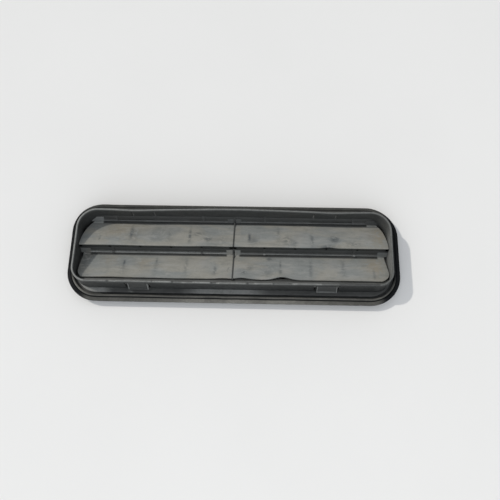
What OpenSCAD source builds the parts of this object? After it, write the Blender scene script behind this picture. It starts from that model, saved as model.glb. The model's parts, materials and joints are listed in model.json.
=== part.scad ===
// Air outlet vent for a car body. A moulded frame clips up into a cut-out in the panel, a rubber seal
// runs round its flange, and four rubber flaps in two rows let air out and fall shut again.
// The frame lies on its duct end: X is its length, Y its width and Z points out of the outlet.
// The origin is the middle of the face that it lies on.

/* [Duct wall] */
// Length over the wall
wall_l = 291; // [270:1:330]
// Width over the wall
wall_w = 71.5; // [68:0.5:84]
// Height from the duct end to the rim
wall_h = 29.5; // [28:0.5:36]
// Thickness of the wall
wall_t = 1.8; // [1.4:0.1:2.2]
// Radius of the wall's corners on the hinge side of the rows
corner_top = 18.5; // [16:0.5:20]
// Radius of the wall's corners on the free side of the rows
corner_bottom = 14.5; // [12:0.5:18]

/* [Flange] */
// How far flange and seal stand out from the wall at each end
flange_end = 9.5; // [9:0.5:14]
// How far flange and seal stand out from the wall at each side
flange_side = 12.75; // [11:0.25:16]
// Radius of the seal's outer corners
flange_corner = 29; // [26:0.5:34]
// Height of the flange's upper face over the duct end
flange_z = 9.5; // [8:0.5:11]
// Thickness of the flange where the seal grips it
flange_t = 1.5; // [1.2:0.1:2]
// Height of the raised land that the panel meets
land_h = 1.5; // [1:0.1:2]

/* [Seal] */
// How far the seal stands out past the flange
seal_out = 2; // [1.5:0.1:3]
// How far the seal's lip reaches in over the flange
seal_in = 4.2; // [4:0.1:5]
// Width of the groove between lip and land
groove_w = 1.8; // [1.2:0.1:2.2]
// Height of the lip's ridge over the land
ridge_h = 2.2; // [1.5:0.1:3]
// Thickness of the seal under the flange
seal_under = 0.9; // [0.8:0.1:1.3]
// How far the seal reaches in under the flange
seal_back = 2.6; // [2:0.1:3.5]

/* [Rows of flaps] */
// Depth of the hinge rail, from the face behind it to the hinge
rail_d = 3.9; // [3.6:0.1:4.4]
// Depth of the ledge along the free side of the last row
ledge_d = 4; // [3.5:0.1:5]
// Height of the hinge line
hinge_z = 8; // [7.5:0.1:9]
// Height of a flap's free edge, at the middle of its thickness
free_z = 21.3; // [20:0.1:22.5]
// Thickness of a flap
flap_t = 1.4; // [1:0.1:1.6]
// Radius of the bead along a flap's hinge edge
bead_r = 1.5; // [1.3:0.05:1.6]
// How far a flap opens, in degrees
open_deg = 35; // [20:1:36]
// Clearance round a flap's sides
side_gap = 0.5; // [0.4:0.05:0.8]
// Clearance between a flap and its seat, and round its bead
seat_gap = 0.3; // [0.25:0.05:0.5]

/* [Rails, bar and divider] */
// Height at which a rail's shoulder leaves the face behind it
shoulder_z = 15.5; // [14.5:0.1:16.5]
// Thickness of the rail's lip over the bead
lip_t = 1; // [0.8:0.1:1.3]
// Where the lip starts, from the divider's middle
lip_start = 6; // [4:0.5:10]
// Where the lip stops, from the end wall
lip_stop = 12.7; // [11:0.1:20]
// Thickness of the cross bar under a free edge
bar_t = 2.2; // [1.8:0.1:3]
// Height of the underside of bar and divider
bar_z = 2; // [1:0.1:3]
// Thickness of the divider
divider_t = 1.2; // [1:0.1:1.6]
// How far the divider stands over the flaps
divider_up = 0.5; // [0.3:0.1:0.8]
// Width of the stays that stiffen a rail's lip
stay_w = 2.2; // [1.5:0.1:3]
// Place of the inner stays, from the divider's middle
stay_in = 29.3; // [20:0.1:40]
// Place of the outer stays, from the end wall
stay_out = 31; // [25:0.1:40]
// How far a stay stands over the rail's shoulder
stay_up = 1.3; // [1:0.1:1.8]

/* [Seat] */
// Ribs under each flap
rib_n = 4; // [2:1:5]
// Thickness of a rib
rib_t = 1.5; // [1.2:0.1:2]
// Height of ribs and seat
rib_h = 5; // [4:0.1:5.5]
// Width of the seat along the walls
seat_w = 2.8; // [2:0.1:3.5]

/* [Clips] */
// Distance from the middle to each clip
clip_x = 85.5; // [60:0.5:100]
// Width of a clip
clip_w = 19; // [14:0.5:24]
// Width of the slit beside a clip
slit_w = 1.8; // [1.2:0.1:2.2]
// How far a slit stops over the flange
slit_up = 1.8; // [1:0.1:3]
// How far a slit stops under the rim
slit_down = 3; // [2:0.1:4]
// How far a clip's barb stands out
barb_out = 2.8; // [2:0.1:3.2]
// Height of the barb's catch over the flange, the panel and the pressed lip together
catch_up = 4.5; // [4.2:0.1:6]
// Flat height of the barb over its catch
barb_flat = 1.2; // [0.8:0.1:2]
// Height of the barb's sloping face
barb_h = 9; // [6:0.5:10]

/* [Hidden] */
$fn = 96;

inner_l = wall_l - 2 * wall_t;
inner_w = wall_w - 2 * wall_t;
flange_l = wall_l + 2 * flange_end;
flange_w = wall_w + 2 * flange_side;
plate_top = flange_z - land_h;
plate_bottom = plate_top - flange_t;
land_in = seal_out + seal_in + groove_w;
row_pitch = (inner_w - ledge_d) / 2;
flap_run = row_pitch - rail_d;
slope = atan((free_z - hinge_z) / flap_run);
flap_len = flap_run / cos(slope);
// A lip ends a little behind the hinge line, so that an open flap clears it
lip_back = seat_gap;
lip_z = hinge_z + bead_r + seat_gap + lip_t;
// How far a rail reaches under its flap
rail_under = 3;
// Height of the step in the ledge along the last row's free side
ledge_step = 2.5;
// How deep a clip's slit runs into what stands behind the wall
slit_in = 0.4;
// How much narrower a barb is than its clip, on each side
barb_in = 0.4;
cut = 1;
reach = 2 * wall_l;

// The wall's outline in plan, moved inwards by inset
module duct_outline(inset) {
  l = wall_l - 2 * inset;
  w = wall_w - 2 * inset;
  r_top = corner_top - inset;
  r_bottom = corner_bottom - inset;
  translate([-l / 2, r_bottom - w / 2]) square([l, w - r_top - r_bottom]);
  translate([r_top - l / 2, 0]) square([l - 2 * r_top, w / 2]);
  translate([r_bottom - l / 2, -w / 2]) square([l - 2 * r_bottom, w / 2]);
  for (side = [-1, 1]) {
    translate([side * (l / 2 - r_top), w / 2 - r_top]) circle(r_top);
    translate([side * (l / 2 - r_bottom), r_bottom - w / 2]) circle(r_bottom);
  }
}

// The flange's outline in plan, moved inwards by inset
module flange_outline(inset) {
  l = flange_l - 2 * inset;
  w = flange_w - 2 * inset;
  r = flange_corner - inset;
  square([l - 2 * r, w], center = true);
  square([l, w - 2 * r], center = true);
  for (side = [-1, 1], end = [-1, 1]) {
    translate([end * (l / 2 - r), side * (w / 2 - r)]) circle(r);
  }
}

// Carries a section drawn in Y and Z along X, from one place to another
module along_x(from, to) {
  translate([from, 0, 0]) rotate([90, 0, 90]) linear_extrude(to - from) children();
}

// Puts a section drawn with Y measured from a row's back face into that row, 0 or 1
module in_row(row) {
  translate([0, inner_w / 2 - row * row_pitch, 0]) children();
}

// A point of the flap's section: s along it from the hinge, t over the middle of its thickness
function on_flap(s, t) = [
  -rail_d - s * cos(slope) + t * sin(slope),
  hinge_z + s * sin(slope) + t * cos(slope)
];

// Height of a line parallel to the flap and t over its middle, at a depth from the row's back face
function over_flap(depth, t) = hinge_z + (depth - rail_d) * tan(slope) + t / cos(slope);

// Wall round the air's way, open at both ends
module duct_wall() {
  difference() {
    linear_extrude(wall_h) duct_outline(0);
    translate([0, 0, -cut]) linear_extrude(wall_h + 2 * cut) duct_outline(wall_t);
  }
}

// Slits that free the clips from the wall, two beside each clip
module clip_slits() {
  for (end = [-1, 1], edge = [-1, 1], turn = [0, 1]) {
    mirror([0, turn, 0])
      translate([
        end * clip_x + edge * (clip_w + slit_w) / 2 - slit_w / 2,
        inner_w / 2 - slit_in,
        flange_z + slit_up
      ])
        cube([slit_w, slit_in + wall_t + barb_out, wall_h - slit_down - flange_z - slit_up]);
  }
}

// Flange plate with the raised land beside the wall
module flange() {
  difference() {
    union() {
      translate([0, 0, plate_bottom]) linear_extrude(flange_t) flange_outline(seal_out);
      translate([0, 0, plate_bottom]) linear_extrude(flange_t + land_h) flange_outline(land_in);
    }
    translate([0, 0, plate_bottom - cut]) linear_extrude(flange_z) duct_outline(wall_t / 2);
  }
}

// Barbs that hold the frame in the panel, one on each clip
module barbs() {
  catch_z = flange_z + catch_up;
  for (end = [-1, 1], side = [-1, 1]) {
    mirror([0, side < 0 ? 1 : 0, 0])
      translate([end * clip_x, wall_w / 2, 0])
        along_x(barb_in - clip_w / 2, clip_w / 2 - barb_in)
          polygon([
            [-wall_t / 2, catch_z],
            [barb_out, catch_z],
            [barb_out, catch_z + barb_flat],
            [0, catch_z + barb_flat + barb_h],
            [-wall_t / 2, catch_z + barb_flat + barb_h]
          ]);
  }
}

// Rail that holds a row's beads: shoulder, lip and the part under the flaps
module rail() {
  under = -flap_t / 2 - seat_gap;
  difference() {
    along_x(-inner_l / 2 - cut / 2, inner_l / 2 + cut / 2)
      polygon([
        [wall_t / 2, shoulder_z],
        [0, shoulder_z],
        [-rail_d + lip_back, lip_z],
        [-rail_d + lip_back, hinge_z],
        [-rail_d - 0.8 * bead_r, over_flap(rail_d + 0.8 * bead_r, under)],
        [-rail_d - rail_under, over_flap(rail_d + rail_under, under)],
        [-rail_d - rail_under, bar_z],
        [wall_t / 2, bar_z]
      ]);
    // The lip is left out beside the divider and near the end walls
    for (gap = [[-reach, lip_stop - inner_l / 2], [-lip_start, lip_start], [inner_l / 2 - lip_stop, reach]]) {
      translate([gap[0], -rail_d - rail_under, hinge_z + bead_r / 2])
        cube([gap[1] - gap[0], rail_under + bead_r, shoulder_z]);
    }
  }
}

// Groove that a row's beads turn in
module groove() {
  translate([0, -rail_d, hinge_z])
    rotate([0, 90, 0]) cylinder(h = reach, r = bead_r + seat_gap, center = true);
}

// Stays across a rail's shoulder and lip
module stays() {
  for (end = [-1, 1], place = [stay_in, inner_l / 2 - stay_out]) {
    along_x(end * place - stay_w / 2, end * place + stay_w / 2)
      polygon([
        [wall_t / 2, shoulder_z + stay_up],
        [0, shoulder_z + stay_up],
        [-rail_d + lip_back - seat_gap, lip_z + stay_up],
        [-rail_d + lip_back, lip_z - lip_t / 2],
        [0, shoulder_z - lip_t],
        [wall_t / 2, shoulder_z - lip_t]
      ]);
  }
}

// Section of the seat under a row's flaps, parallel to them
module seat_section() {
  under = -flap_t / 2 - seat_gap;
  start = rail_d + rail_under / 2;
  polygon([
    [-start, over_flap(start, under)],
    [-row_pitch, over_flap(row_pitch, under)],
    [-row_pitch, over_flap(row_pitch, under) - rib_h],
    [-start, over_flap(start, under) - rib_h]
  ]);
}

// Ribs across a row, and the wider seats beside the divider and along the end walls
module seat() {
  bay = (inner_l - divider_t) / 2;
  for (end = [-1, 1], k = [1:rib_n]) {
    x = end * (divider_t / 2 + k * bay / (rib_n + 1));
    along_x(x - rib_t / 2, x + rib_t / 2) seat_section();
  }
  along_x(-divider_t / 2 - seat_w, divider_t / 2 + seat_w) seat_section();
  along_x(-inner_l / 2 - cut / 2, seat_w - inner_l / 2) seat_section();
  along_x(inner_l / 2 - seat_w, inner_l / 2 + cut / 2) seat_section();
}

// Bar behind a row's rail, which also carries the free edges of the row before
module cross_bar() {
  along_x(-inner_l / 2 - cut / 2, inner_l / 2 + cut / 2)
    polygon([
      [0, bar_z],
      [bar_t, bar_z],
      [bar_t, over_flap(row_pitch - bar_t, -flap_t / 2 - seat_gap)],
      [0, over_flap(row_pitch, -flap_t / 2 - seat_gap)]
    ]);
}

// Divider between the left and the right flaps of a row, over shoulder, lip and flaps
module divider() {
  top = flap_t / 2 + divider_up;
  lip_top = lip_z + divider_up;
  along_x(-divider_t / 2, divider_t / 2)
    polygon([
      [wall_t / 2, bar_z],
      [wall_t / 2, shoulder_z + divider_up],
      [0, shoulder_z + divider_up],
      [-rail_d + lip_back, lip_top],
      [-rail_d - (lip_top - over_flap(rail_d, top)) / tan(slope), lip_top],
      [-row_pitch, over_flap(row_pitch, top)],
      [-row_pitch, bar_z]
    ]);
}

// Ledge along the wall at the free side of the last row, with a step up to the seat
module ledge() {
  seat_z = over_flap(row_pitch, -flap_t / 2 - seat_gap);
  translate([0, inner_w / 2 - 2 * row_pitch, 0]) {
    cross_bar();
    along_x(-inner_l / 2 - cut / 2, inner_l / 2 + cut / 2)
      polygon([
        [cut / 2, seat_z - ledge_step],
        [cut / 2, seat_z - ledge_step - rib_t],
        [-ledge_d - wall_t / 2, seat_z - ledge_step - rib_t],
        [-ledge_d - wall_t / 2, seat_z - ledge_step]
      ]);
  }
}

// Everything inside the wall, trimmed by it
module inside() {
  intersection() {
    linear_extrude(wall_h) duct_outline(wall_t / 2);
    union() {
      difference() {
        union() {
          for (row = [0, 1]) {
            in_row(row) {
              rail();
              stays();
              seat();
            }
          }
          in_row(1) cross_bar();
          ledge();
        }
        for (row = [0, 1]) {
          in_row(row) groove();
        }
      }
      for (row = [0, 1]) {
        in_row(row) divider();
      }
    }
  }
}

module frame() {
  color("#2c2d2f") {
    difference() {
      union() {
        duct_wall();
        flange();
        inside();
        barbs();
      }
      clip_slits();
    }
  }
}

// Section of the seal: X inwards from its outer edge, Y up from the flange's upper face
module seal_section() {
  lip_in = seal_out + seal_in;
  polygon([
    [0, -land_h + 0.4],
    [0.3, -land_h + 1.2],
    [3, -land_h + 2.1],
    [3.8, -land_h + 1.7],
    [lip_in - 1.6, ridge_h - 0.2],
    [lip_in - 0.9, ridge_h],
    [lip_in - 0.2, ridge_h - 0.4],
    [lip_in, -land_h],
    [seal_out, -land_h],
    [seal_out, -land_h - flange_t],
    [seal_out + seal_back, -land_h - flange_t],
    [seal_out + seal_back, -land_h - flange_t - seal_under],
    [seal_out / 2, -land_h - flange_t - seal_under]
  ]);
}

// The seal's section turned so that X points outwards from the flange's middle
module seal_at(distance) {
  translate([distance, flange_z]) mirror([1, 0]) seal_section();
}

module flange_seal() {
  r = flange_corner;
  half_l = flange_l / 2 - r;
  half_w = flange_w / 2 - r;
  color("#232425") {
    for (turn = [0, 180]) {
      rotate([0, 0, turn]) {
        along_x(-half_l, half_l) seal_at(flange_w / 2);
        rotate([0, 0, -90]) along_x(-half_w, half_w) seal_at(flange_l / 2);
        translate([half_l, half_w, 0]) rotate_extrude(angle = 90) seal_at(r);
        translate([-half_l, half_w, 0]) rotate([0, 0, 90]) rotate_extrude(angle = 90) seal_at(r);
      }
    }
  }
}

// Space inside the wall that a flap may fill
module flap_space() {
  translate([0, 0, -reach / 2]) linear_extrude(reach) duct_outline(wall_t + side_gap);
}

// The flap space as an opened flap sees it, turned back about the hinge line
module opened_space(row, angle) {
  hinge = [0, inner_w / 2 - row * row_pitch - rail_d, hinge_z];
  translate(hinge) rotate([angle, 0, 0]) translate(-hinge) flap_space();
}

// One flap: a sheet with a bead along its hinge edge. End is -1 for the left and 1 for the right
module flap(row, end) {
  start = divider_t / 2 + side_gap;
  from = end < 0 ? -inner_l / 2 : start;
  to = end < 0 ? -start : inner_l / 2;
  color("#77767c") {
    intersection() {
      in_row(row) {
        along_x(from, to)
          polygon([
            on_flap(0, -flap_t / 2),
            on_flap(flap_len, -flap_t / 2),
            on_flap(flap_len, flap_t / 2),
            on_flap(0, flap_t / 2)
          ]);
        translate([from, -rail_d, hinge_z]) rotate([0, 90, 0]) cylinder(h = to - from, r = bead_r);
      }
      flap_space();
      opened_space(row, open_deg);
    }
  }
}

module flap_upper_left() { flap(0, -1); }
module flap_upper_right() { flap(0, 1); }
module flap_lower_left() { flap(1, -1); }
module flap_lower_right() { flap(1, 1); }

frame();
flange_seal();
flap_upper_left();
flap_upper_right();
flap_lower_left();
flap_lower_right();
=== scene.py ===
import json
import math
import bmesh
import bpy
import numpy as np
from mathutils import Matrix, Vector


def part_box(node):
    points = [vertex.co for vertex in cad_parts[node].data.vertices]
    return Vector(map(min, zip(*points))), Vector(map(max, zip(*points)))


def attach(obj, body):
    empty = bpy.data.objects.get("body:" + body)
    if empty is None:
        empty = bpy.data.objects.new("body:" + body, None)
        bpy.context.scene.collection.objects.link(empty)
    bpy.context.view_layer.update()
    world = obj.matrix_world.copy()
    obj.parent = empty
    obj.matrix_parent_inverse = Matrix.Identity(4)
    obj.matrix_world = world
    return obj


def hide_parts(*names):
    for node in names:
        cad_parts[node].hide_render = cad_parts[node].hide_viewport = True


# Looks of a car body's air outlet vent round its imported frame. Arrays are in millimetres, and
# metres only when a mesh is made. X is the vent's length, Y points to the flaps' hinges, Z out.

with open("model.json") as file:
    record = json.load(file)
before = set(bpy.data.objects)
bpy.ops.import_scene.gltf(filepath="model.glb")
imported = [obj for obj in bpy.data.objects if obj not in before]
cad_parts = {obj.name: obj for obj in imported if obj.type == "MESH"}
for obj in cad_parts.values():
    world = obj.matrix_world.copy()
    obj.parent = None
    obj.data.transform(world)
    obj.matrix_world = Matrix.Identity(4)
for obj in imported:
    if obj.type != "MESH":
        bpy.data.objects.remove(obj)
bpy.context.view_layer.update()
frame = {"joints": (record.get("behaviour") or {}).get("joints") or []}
mm = 0.001

sealLow, sealHigh = (np.array(corner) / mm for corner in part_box("flange_seal"))
frameHigh = np.array(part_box("frame")[1]) / mm
hingeAt = {j["child"]: np.array(j["pos_m"]) / mm for j in frame["joints"]}
openAngle = math.radians(max(j["range_deg"][1] for j in frame["joints"]))

# Sizes that every piece shares; the rest sits beside each piece
body = {
    "flangeLength": sealHigh[0] - sealLow[0],
    "flangeWidth": sealHigh[1] - sealLow[1],
    "flangeCorner": 29.0,
    "flangeTop": 9.5,
    "wallLength": 291.0,
    "wallWidth": 71.5,
    "wallThickness": 1.8,
    "cornerTop": 18.5,
    "cornerBottom": 14.5,
    "rimHeight": frameHigh[2],
    "ledgeDepth": 4.0,
    "railDepth": 3.9,
    "freeHeight": 21.3,
    "flapThickness": 1.4,
    "beadRadius": 1.5,
    "sideGap": 0.5,
    "seatGap": 0.3,
    "dividerThickness": 0.9,
    "dividerX": 0.6,
}
innerLength = body["wallLength"] - 2 * body["wallThickness"]
innerWidth = body["wallWidth"] - 2 * body["wallThickness"]
rowPitch = (innerWidth - body["ledgeDepth"]) / 2
hingeZ = hingeAt["flap_upper_left"][2]
flapRun = rowPitch - body["railDepth"]
slope = math.atan2(body["freeHeight"] - hingeZ, flapRun)
flapLength = flapRun / math.cos(slope)
rowFaces = [innerWidth / 2, innerWidth / 2 - rowPitch]   # Y of the face behind each row's hinges


# Meshes

def smoothStep(x, low, high):
    # 0 below low, 1 above high, and a smooth cubic between them.
    t = np.clip((np.asarray(x, float) - low) / (high - low), 0, 1)
    return t * t * (3 - 2 * t)


def bellAt(x, centre, width):
    # A bell of height 1 at centre: e to the minus squared distance over width.
    return np.exp(-((np.asarray(x, float) - centre) / width) ** 2)


def gridFaces(rows, columns, closeRows=False, closeColumns=False, start=0):
    # Quads of a grid of rows by columns whose vertices are numbered row by row.
    r = np.arange(rows if closeRows else rows - 1)[:, None]
    c = np.arange(columns if closeColumns else columns - 1)[None, :]
    rNext, cNext = (r + 1) % rows, (c + 1) % columns
    quads = np.stack([r * columns + c, rNext * columns + c, rNext * columns + cNext, r * columns + cNext], -1)
    return quads.reshape(-1, 4) + start


def makePiece(name, points, faces, material, bodyName, sharpDegrees=35, layers=None):
    # Turns points in millimetres and quads into a piece that rides on a body.
    mesh = bpy.data.meshes.new(name)
    mesh.from_pydata((np.asarray(points, float) * mm).tolist(), [], [list(face) for face in faces])
    for layerName, values in (layers or {}).items():
        layer = mesh.attributes.new(layerName, "FLOAT", "POINT")
        layer.data.foreach_set("value", np.asarray(values, np.float32))
    work = bmesh.new()
    work.from_mesh(mesh)
    bmesh.ops.recalc_face_normals(work, faces=work.faces)
    limit = math.radians(sharpDegrees)
    for edge in work.edges:
        edge.smooth = len(edge.link_faces) == 2 and edge.calc_face_angle(0) < limit
    for face in work.faces:
        face.smooth = True
    work.to_mesh(mesh)
    work.free()
    piece = bpy.data.objects.new(name, mesh)
    bpy.context.scene.collection.objects.link(piece)
    mesh.materials.append(material)
    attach(piece, bodyName)
    return piece


def bevelled(piece, width, segments=2):
    # Rounds a piece's sharp edges by width millimetres.
    bevel = piece.modifiers.new("edge", "BEVEL")
    bevel.width = width * mm
    bevel.segments = segments
    bevel.limit_method = "ANGLE"
    bevel.angle_limit = math.radians(32)
    bevel.harden_normals = False
    return piece


def halfLength(y, inset):
    # Half the length of the wall's outline, moved inwards by inset, at a distance y from the middle.
    y = np.asarray(y, float)
    half = body["wallLength"] / 2 - inset
    top, bottom = body["cornerTop"] - inset, body["cornerBottom"] - inset
    width = body["wallWidth"] / 2 - inset
    over = np.clip(y - (width - top), 0, top)
    under = np.clip(-y - (width - bottom), 0, bottom)
    return half - top + np.sqrt(top ** 2 - over ** 2) - (bottom - np.sqrt(bottom ** 2 - under ** 2))


def outline(length, width, topCorner, bottomCorner, longSide, shortCount, arcCount):
    # Points and outward normals round a rounded rectangle, anticlockwise from the front's left end.
    # longSide is an array of places from 0 to 1 along each long side.
    points, normals = [], []
    corners = [(1, -1, bottomCorner, -90), (1, 1, topCorner, 0), (-1, 1, topCorner, 90), (-1, -1, bottomCorner, 180)]
    sides = [longSide, np.linspace(0, 1, shortCount), longSide, np.linspace(0, 1, shortCount)]
    previous = corners[-1]
    for corner, side in zip(corners, sides):
        sx, sy, radius, first = corner
        px, py, pRadius, _ = previous
        centre = np.array([sx * (length / 2 - radius), sy * (width / 2 - radius)])
        start = np.array([px * (length / 2 - pRadius), py * (width / 2 - pRadius)])
        direction = math.radians(first)
        normal = np.array([math.cos(direction), math.sin(direction)])
        a, b = start + normal * pRadius, centre + normal * radius
        points.append(a + (b - a) * side[:, None])
        normals.append(np.repeat(normal[None], len(side), 0))
        turn = direction + np.linspace(0, math.pi / 2, arcCount + 1)[1:-1]
        ray = np.stack([np.cos(turn), np.sin(turn)], 1)
        points.append(centre + ray * radius)
        normals.append(ray)
        previous = corner
    return np.concatenate(points), np.concatenate(normals)


def alongX(section, stations, limits, dustAndPaintedLight=0.0):
    # A closed section in Y and Z carried along X. stations run from 0 to 1 and limits gives each
    # point's own lowest and highest X, so that an end can follow a curved wall. A layer value goes with it: dust, wear,
    # and painted shade on the tabs.
    section = np.asarray(section, float)
    low, high = limits
    x = low + (high - low) * np.asarray(stations, float)[:, None]
    y = np.repeat(section[None, :, 0], len(x), 0)
    z = np.repeat(section[None, :, 1], len(x), 0)
    points = np.stack([x, y, z], -1).reshape(-1, 3)
    count = len(section)
    faces = gridFaces(len(x), count, closeColumns=True).tolist()
    faces.append(list(range(count)))
    faces.append(list(range(len(points) - count, len(points)))[::-1])
    return points, faces, np.broadcast_to(dustAndPaintedLight, (len(x), count)).reshape(-1)


def joined(parts):
    # Several parts as one list of points, one of faces, and each point's layer value: dust, wear, and painted shade on
    # the tabs.
    points, faces, dustAndPaintedLight, start = [], [], [], 0
    for partPoints, partFaces, partDustAndLight in parts:
        points.append(partPoints)
        faces += [[v + start for v in face] for face in partFaces]
        dustAndPaintedLight.append(partDustAndLight)
        start += len(partPoints)
    return np.concatenate(points), faces, np.concatenate(dustAndPaintedLight)


# Materials

def newMaterial(name):
    material = bpy.data.materials.new(name)
    material.use_nodes = True
    tree = material.node_tree
    return material, tree, tree.nodes["Principled BSDF"]


def addNode(tree, kind, inputs=None, **settings):
    node = tree.nodes.new(kind)
    for key, value in settings.items():
        setattr(node, key, value)
    for key, value in (inputs or {}).items():
        if isinstance(value, bpy.types.NodeSocket):
            tree.links.new(value, node.inputs[key])
        else:
            node.inputs[key].default_value = value
    return node


def noiseOf(tree, place, scale, detail=3.0, roughness=0.55, distortion=0.0):
    # Noise with its features scale to the metre, from 0 to 1.
    return addNode(tree, "ShaderNodeTexNoise", {
        "Vector": place, "Scale": scale, "Detail": detail, "Roughness": roughness, "Distortion": distortion,
    }).outputs["Fac"]


def stretched(tree, place, factors):
    # The place stretched along each axis, for streaks.
    return addNode(tree, "ShaderNodeMapping", {"Vector": place, "Scale": factors}).outputs["Vector"]


def rangeOf(tree, value, low, high, newLow=0.0, newHigh=1.0):
    return addNode(tree, "ShaderNodeMapRange", {
        "Value": value, "From Min": low, "From Max": high, "To Min": newLow, "To Max": newHigh,
    }, clamp=True, interpolation_type="SMOOTHSTEP").outputs["Result"]


def mathOf(tree, operation, a, b=0.0):
    return addNode(tree, "ShaderNodeMath", {0: a, 1: b}, operation=operation).outputs["Value"]


def mixOf(tree, factor, a, b):
    # Colour a, turning to b as factor goes from 0 to 1.
    node = addNode(tree, "ShaderNodeMix", data_type="RGBA")
    for index, value in ((0, factor), (6, a), (7, b)):
        if isinstance(value, bpy.types.NodeSocket):
            tree.links.new(value, node.inputs[index])
        else:
            node.inputs[index].default_value = value
    return node.outputs[2]


def layerOf(tree, name):
    return addNode(tree, "ShaderNodeAttribute", attribute_name=name).outputs["Fac"]


def bumpOf(tree, height, distance, strength=1.0, normal=None):
    inputs = {"Height": height, "Distance": distance * mm, "Strength": strength}
    if normal is not None:
        inputs["Normal"] = normal
    return addNode(tree, "ShaderNodeBump", inputs).outputs["Normal"]


plasticLook = {
    "clean": (0.015, 0.0165, 0.016, 1),
    "dustAndPaintedLight": (0.246, 0.252, 0.244, 1),
    "worn": (0.262, 0.270, 0.258, 1),
    "dustShare": 0.15,
    "film": (0.07, 0.125),
    "roughness": (0.42, 0.68),
}


def mouldedPlastic():
    # Black moulded plastic: fine grain, dust where it faces up, pale rubbed marks from the layer worn, and a second
    # layer of dust that also carries painted light and painted shade.
    material, tree, shader = newMaterial("framePlastic")
    coordinates = addNode(tree, "ShaderNodeTexCoord")
    place = coordinates.outputs["Object"]
    up = addNode(tree, "ShaderNodeSeparateXYZ", {"Vector": coordinates.outputs["Normal"]}).outputs["Z"]
    cloud = noiseOf(tree, place, 55, 5, 0.6)
    speck = noiseOf(tree, place, 700, 3, 0.6)
    streak = noiseOf(tree, stretched(tree, place, (0.25, 1, 1)), 260, 4, 0.6)
    patchy = rangeOf(tree, cloud, 0.3, 0.7, 0.45, 1.0)
    dustAndLightShare = mathOf(tree, "MULTIPLY", rangeOf(tree, up, 0.15, 0.95), patchy)
    dustAndLightShare = mathOf(tree, "MULTIPLY", dustAndLightShare, plasticLook["dustShare"])
    dustAndLightShare = mathOf(tree, "ADD", dustAndLightShare, rangeOf(tree, streak, 0.45, 0.75, *plasticLook["film"]))
    # the layer's dust, with painted light in it: dark in the flange's groove and towards the back of the right end,
    # pale at the flange's front-left corner
    layerDustAndLight = mathOf(tree, "MULTIPLY", layerOf(tree, "dustWithPaintedLight"), rangeOf(tree, speck, 0.25, 0.7, 0.75, 1.1))
    dustAndLightShare = mathOf(tree, "ADD", dustAndLightShare, mathOf(tree, "MULTIPLY", layerDustAndLight, rangeOf(tree, cloud, 0.3, 0.7, 0.8, 1.1)))
    colour = mixOf(tree, dustAndLightShare, plasticLook["clean"], plasticLook["dustAndPaintedLight"])
    rubbed = mathOf(tree, "MULTIPLY", layerOf(tree, "worn"), rangeOf(tree, speck, 0.3, 0.62, 0.55, 1.0))
    colour = mixOf(tree, rubbed, colour, plasticLook["worn"])
    tree.links.new(colour, shader.inputs["Base Color"])
    low, high = plasticLook["roughness"]
    rough = rangeOf(tree, noiseOf(tree, place, 140, 4), 0.35, 0.7, low, high)
    tree.links.new(rough, shader.inputs["Roughness"])
    normal = bumpOf(tree, noiseOf(tree, place, 1600, 2, 0.5), 0.05, 0.5)
    normal = bumpOf(tree, streak, 0.12, 0.5, normal)
    tree.links.new(normal, shader.inputs["Normal"])
    return material


rubberLook = {
    "mid": (0.302, 0.295, 0.262, 1),
    "cool": (0.246, 0.258, 0.250, 1),
    "stain": (0.085, 0.096, 0.100, 1),
    "pale": (0.330, 0.328, 0.312, 1),
    "warm": (0.292, 0.262, 0.205, 1),
    "dark": (0.020, 0.021, 0.021, 1),
}


def flapRubber():
    # Grey rubber under dust: cool clouds, wiped streaks, and stains, scuffs and warm dirt from layers, which also carry
    # painted shade and a painted highlight.
    material, tree, shader = newMaterial("flapRubber")
    place = addNode(tree, "ShaderNodeTexCoord").outputs["Object"]
    cloud = noiseOf(tree, stretched(tree, place, (0.8, 1.4, 1.4)), 30, 3, 0.5, 0.8)
    colour = mixOf(tree, rangeOf(tree, cloud, 0.40, 0.62), rubberLook["mid"], rubberLook["cool"])
    wipe = noiseOf(tree, stretched(tree, place, (0.3, 1, 1)), 110, 5, 0.6, 0.4)
    colour = mixOf(tree, rangeOf(tree, wipe, 0.52, 0.8, 0.0, 0.45), colour, rubberLook["pale"])
    blot = noiseOf(tree, place, 170, 5, 0.65, 1.4)
    edge = rangeOf(tree, blot, 0.32, 0.54)
    colour = mixOf(tree, mathOf(tree, "MULTIPLY", layerOf(tree, "warm"), edge), colour, rubberLook["warm"])
    colour = mixOf(tree, mathOf(tree, "MULTIPLY", layerOf(tree, "scuffsAndHighlight"), edge), colour, rubberLook["pale"])
    colour = mixOf(tree, mathOf(tree, "MULTIPLY", layerOf(tree, "stainsAndShade"), edge), colour, rubberLook["stain"])
    fine = noiseOf(tree, stretched(tree, place, (0.3, 1, 1)), 230, 4, 0.65, 0.5)
    colour = mixOf(tree, rangeOf(tree, fine, 0.50, 0.70, 0.0, 0.45), colour, rubberLook["pale"])
    colour = mixOf(tree, rangeOf(tree, fine, 0.50, 0.32, 0.0, 0.22), colour, rubberLook["stain"])
    spots = noiseOf(tree, place, 430, 3, 0.7)
    colour = mixOf(tree, rangeOf(tree, spots, 0.63, 0.74, 0.0, 0.30), colour, rubberLook["stain"])
    # painted shade: this layer darkens the rubber beside the bead under the lips, along the free edge and on the tabs
    colour = mixOf(tree, layerOf(tree, "paintedShade"), colour, rubberLook["dark"])
    tree.links.new(colour, shader.inputs["Base Color"])
    tree.links.new(rangeOf(tree, blot, 0.3, 0.7, 0.62, 0.82), shader.inputs["Roughness"])
    shader.inputs["Specular IOR Level"].default_value = 0.35
    normal = bumpOf(tree, noiseOf(tree, place, 900, 3), 0.06, 0.5)
    normal = bumpOf(tree, wipe, 0.25, 0.4, normal)
    tree.links.new(normal, shader.inputs["Normal"])
    return material


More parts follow.
